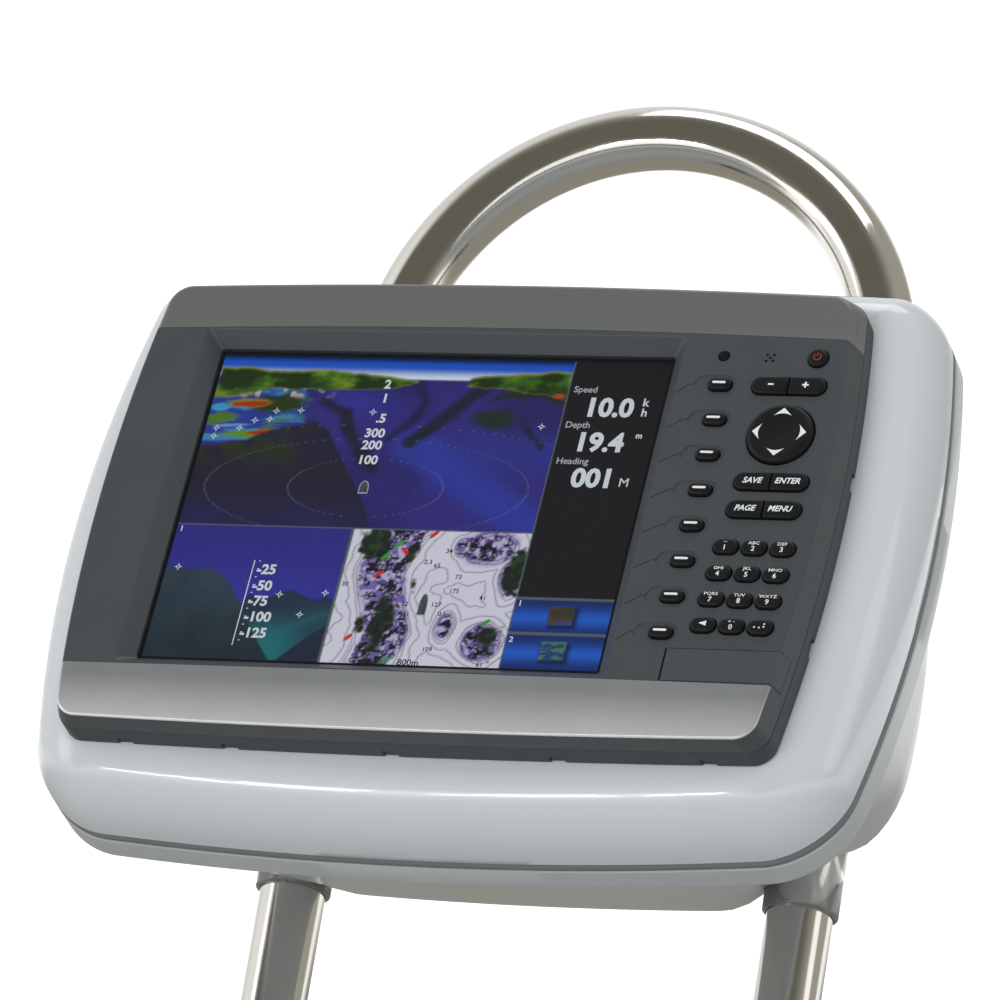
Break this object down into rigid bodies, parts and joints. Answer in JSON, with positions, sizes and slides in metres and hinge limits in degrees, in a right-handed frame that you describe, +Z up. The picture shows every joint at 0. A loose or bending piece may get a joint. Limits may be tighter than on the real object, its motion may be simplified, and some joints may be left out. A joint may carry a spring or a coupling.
{
  "type": "fish finder",
  "caption": "Screen-and-keypad fish finder head set in a leaning two-part pod, carried on a polished tube hoop guard with round deck feet.",
  "frame": {"origin": "midway between the two feet, on the deck plane", "axes": "+Z up from the deck, the screen looks toward -Y, +X to the keypad side"},
  "size_m": [0.3974, 0.359, 0.5427],
  "materials": {
    "pod_white": "glossy white shell",
    "pod_rear_white": "satin white shell",
    "gasket_grey": "matte grey seal",
    "guard_steel": "polished stainless tube",
    "foot_steel": "polished stainless casting",
    "screw_steel": "plain stainless",
    "clear_collar": "clear plastic",
    "clamp_grey": "moulded",
    "fascia_grey": "fine texture, dark grey",
    "flange_black": "moulded",
    "strip_grey": "satin grey",
    "strip_silver": "satin silver",
    "door_grey": "moulded",
    "key_rubber": "soft black",
    "pivot_nylon": "moulded",
    "window_glass": "polished",
    "lcd_dark": "display stack",
    "mat_rubber": "matte",
    "sensor_glass": "smoked",
    "board_green": "circuit board",
    "reader_steel": "pressed sheet",
    "case_black": "moulded",
    "socket_black": "moulded"
  },
  "bodies": {
    "stand": {"door_pin": "screw_steel", "card_reader": "reader_steel", "top_strip": "strip_grey", "bottom_strip": "strip_silver", "fascia": "fascia_grey", "window_lens": "window_glass", "lcd_panel": "lcd_dark", "keypad_mat": "mat_rubber", "sensor_lens": "sensor_glass", "main_board": "board_green", "head_case": "case_black", "mounting_flange": "flange_black", "power_socket": "socket_black", "data_socket": "socket_black", "pod_front_shell": "pod_white", "pod_gasket": "gasket_grey", "pod_rear_shell": "pod_rear_white", "guard_hoop": "guard_steel", "lower_collar_left": "clear_collar", "lower_collar_right": "clear_collar", "upper_collar_left": "clear_collar", "upper_collar_right": "clear_collar", "saddle_clamp_left": "clamp_grey", "saddle_clamp_right": "clamp_grey", "clamp_screw_left": "screw_steel", "clamp_screw_right": "screw_steel", "guard_foot_left": "foot_steel", "guard_foot_right": "foot_steel", "set_screw_left": "screw_steel", "set_screw_right": "screw_steel"},
    "soft_key_1": {"soft_key_1": "key_rubber"},
    "soft_key_2": {"soft_key_2": "key_rubber"},
    "soft_key_3": {"soft_key_3": "key_rubber"},
    "soft_key_4": {"soft_key_4": "key_rubber"},
    "soft_key_5": {"soft_key_5": "key_rubber"},
    "soft_key_6": {"soft_key_6": "key_rubber"},
    "soft_key_7": {"soft_key_7": "key_rubber"},
    "soft_key_8": {"soft_key_8": "key_rubber"},
    "power_key": {"power_key": "key_rubber"},
    "minus_key": {"minus_key": "key_rubber"},
    "plus_key": {"plus_key": "key_rubber"},
    "save_key": {"save_key": "key_rubber"},
    "enter_key": {"enter_key": "key_rubber"},
    "page_key": {"page_key": "key_rubber"},
    "menu_key": {"menu_key": "key_rubber"},
    "pad_key_1": {"pad_key_1": "key_rubber"},
    "pad_key_2": {"pad_key_2": "key_rubber"},
    "pad_key_3": {"pad_key_3": "key_rubber"},
    "pad_key_4": {"pad_key_4": "key_rubber"},
    "pad_key_5": {"pad_key_5": "key_rubber"},
    "pad_key_6": {"pad_key_6": "key_rubber"},
    "pad_key_7": {"pad_key_7": "key_rubber"},
    "pad_key_8": {"pad_key_8": "key_rubber"},
    "pad_key_9": {"pad_key_9": "key_rubber"},
    "pad_key_back": {"pad_key_back": "key_rubber"},
    "pad_key_0": {"pad_key_0": "key_rubber"},
    "pad_key_note": {"pad_key_note": "key_rubber"},
    "rocker_pivot": {"rocker_pivot": "pivot_nylon"},
    "rocker_pad": {"rocker_pad": "key_rubber"},
    "card_door": {"card_door": "door_grey"}
  },
  "joints": [
    {"name": "card_door_swing", "type": "hinge", "parent": "stand", "child": "card_door", "pos_m": [0.1143, -0.11317, 0.31247], "axis": [0, -0.599, -0.8007], "range_deg": [0, 90]},
    {"name": "rocker_up_down", "type": "hinge", "parent": "stand", "child": "rocker_pivot", "pos_m": [0.1416, -0.04026, 0.40417], "axis": [1, 0, 0], "range_deg": [-3, 3], "stiffness_Nm_per_rad": 0.05},
    {"name": "rocker_left_right", "type": "hinge", "parent": "rocker_pivot", "child": "rocker_pad", "pos_m": [0.1416, -0.04026, 0.40417], "axis": [0, 0.599, 0.8007], "range_deg": [-3, 3], "stiffness_Nm_per_rad": 0.05},
    {"name": "soft_key_1_press", "type": "slide", "parent": "stand", "child": "soft_key_1", "axis": [0, 0.8007, -0.599], "range_m": [0, 0.0012], "stiffness_N_per_m": 150},
    {"name": "soft_key_2_press", "type": "slide", "parent": "stand", "child": "soft_key_2", "axis": [0, 0.8007, -0.599], "range_m": [0, 0.0012], "stiffness_N_per_m": 150},
    {"name": "soft_key_3_press", "type": "slide", "parent": "stand", "child": "soft_key_3", "axis": [0, 0.8007, -0.599], "range_m": [0, 0.0012], "stiffness_N_per_m": 150},
    {"name": "soft_key_4_press", "type": "slide", "parent": "stand", "child": "soft_key_4", "axis": [0, 0.8007, -0.599], "range_m": [0, 0.0012], "stiffness_N_per_m": 150},
    {"name": "soft_key_5_press", "type": "slide", "parent": "stand", "child": "soft_key_5", "axis": [0, 0.8007, -0.599], "range_m": [0, 0.0012], "stiffness_N_per_m": 150},
    {"name": "soft_key_6_press", "type": "slide", "parent": "stand", "child": "soft_key_6", "axis": [0, 0.8007, -0.599], "range_m": [0, 0.0012], "stiffness_N_per_m": 150},
    {"name": "soft_key_7_press", "type": "slide", "parent": "stand", "child": "soft_key_7", "axis": [0, 0.8007, -0.599], "range_m": [0, 0.0012], "stiffness_N_per_m": 150},
    {"name": "soft_key_8_press", "type": "slide", "parent": "stand", "child": "soft_key_8", "axis": [0, 0.8007, -0.599], "range_m": [0, 0.0012], "stiffness_N_per_m": 150},
    {"name": "power_key_press", "type": "slide", "parent": "stand", "child": "power_key", "axis": [0, 0.8007, -0.599], "range_m": [0, 0.0012], "stiffness_N_per_m": 150},
    {"name": "minus_key_press", "type": "slide", "parent": "stand", "child": "minus_key", "axis": [0, 0.8007, -0.599], "range_m": [0, 0.0012], "stiffness_N_per_m": 150},
    {"name": "plus_key_press", "type": "slide", "parent": "stand", "child": "plus_key", "axis": [0, 0.8007, -0.599], "range_m": [0, 0.0012], "stiffness_N_per_m": 150},
    {"name": "save_key_press", "type": "slide", "parent": "stand", "child": "save_key", "axis": [0, 0.8007, -0.599], "range_m": [0, 0.0012], "stiffness_N_per_m": 150},
    {"name": "enter_key_press", "type": "slide", "parent": "stand", "child": "enter_key", "axis": [0, 0.8007, -0.599], "range_m": [0, 0.0012], "stiffness_N_per_m": 150},
    {"name": "page_key_press", "type": "slide", "parent": "stand", "child": "page_key", "axis": [0, 0.8007, -0.599], "range_m": [0, 0.0012], "stiffness_N_per_m": 150},
    {"name": "menu_key_press", "type": "slide", "parent": "stand", "child": "menu_key", "axis": [0, 0.8007, -0.599], "range_m": [0, 0.0012], "stiffness_N_per_m": 150},
    {"name": "pad_key_1_press", "type": "slide", "parent": "stand", "child": "pad_key_1", "axis": [0, 0.8007, -0.599], "range_m": [0, 0.0012], "stiffness_N_per_m": 150},
    {"name": "pad_key_2_press", "type": "slide", "parent": "stand", "child": "pad_key_2", "axis": [0, 0.8007, -0.599], "range_m": [0, 0.0012], "stiffness_N_per_m": 150},
    {"name": "pad_key_3_press", "type": "slide", "parent": "stand", "child": "pad_key_3", "axis": [0, 0.8007, -0.599], "range_m": [0, 0.0012], "stiffness_N_per_m": 150},
    {"name": "pad_key_4_press", "type": "slide", "parent": "stand", "child": "pad_key_4", "axis": [0, 0.8007, -0.599], "range_m": [0, 0.0012], "stiffness_N_per_m": 150},
    {"name": "pad_key_5_press", "type": "slide", "parent": "stand", "child": "pad_key_5", "axis": [0, 0.8007, -0.599], "range_m": [0, 0.0012], "stiffness_N_per_m": 150},
    {"name": "pad_key_6_press", "type": "slide", "parent": "stand", "child": "pad_key_6", "axis": [0, 0.8007, -0.599], "range_m": [0, 0.0012], "stiffness_N_per_m": 150},
    {"name": "pad_key_7_press", "type": "slide", "parent": "stand", "child": "pad_key_7", "axis": [0, 0.8007, -0.599], "range_m": [0, 0.0012], "stiffness_N_per_m": 150},
    {"name": "pad_key_8_press", "type": "slide", "parent": "stand", "child": "pad_key_8", "axis": [0, 0.8007, -0.599], "range_m": [0, 0.0012], "stiffness_N_per_m": 150},
    {"name": "pad_key_9_press", "type": "slide", "parent": "stand", "child": "pad_key_9", "axis": [0, 0.8007, -0.599], "range_m": [0, 0.0012], "stiffness_N_per_m": 150},
    {"name": "pad_key_back_press", "type": "slide", "parent": "stand", "child": "pad_key_back", "axis": [0, 0.8007, -0.599], "range_m": [0, 0.0012], "stiffness_N_per_m": 150},
    {"name": "pad_key_0_press", "type": "slide", "parent": "stand", "child": "pad_key_0", "axis": [0, 0.8007, -0.599], "range_m": [0, 0.0012], "stiffness_N_per_m": 150},
    {"name": "pad_key_note_press", "type": "slide", "parent": "stand", "child": "pad_key_note", "axis": [0, 0.8007, -0.599], "range_m": [0, 0.0012], "stiffness_N_per_m": 150}
  ]
}
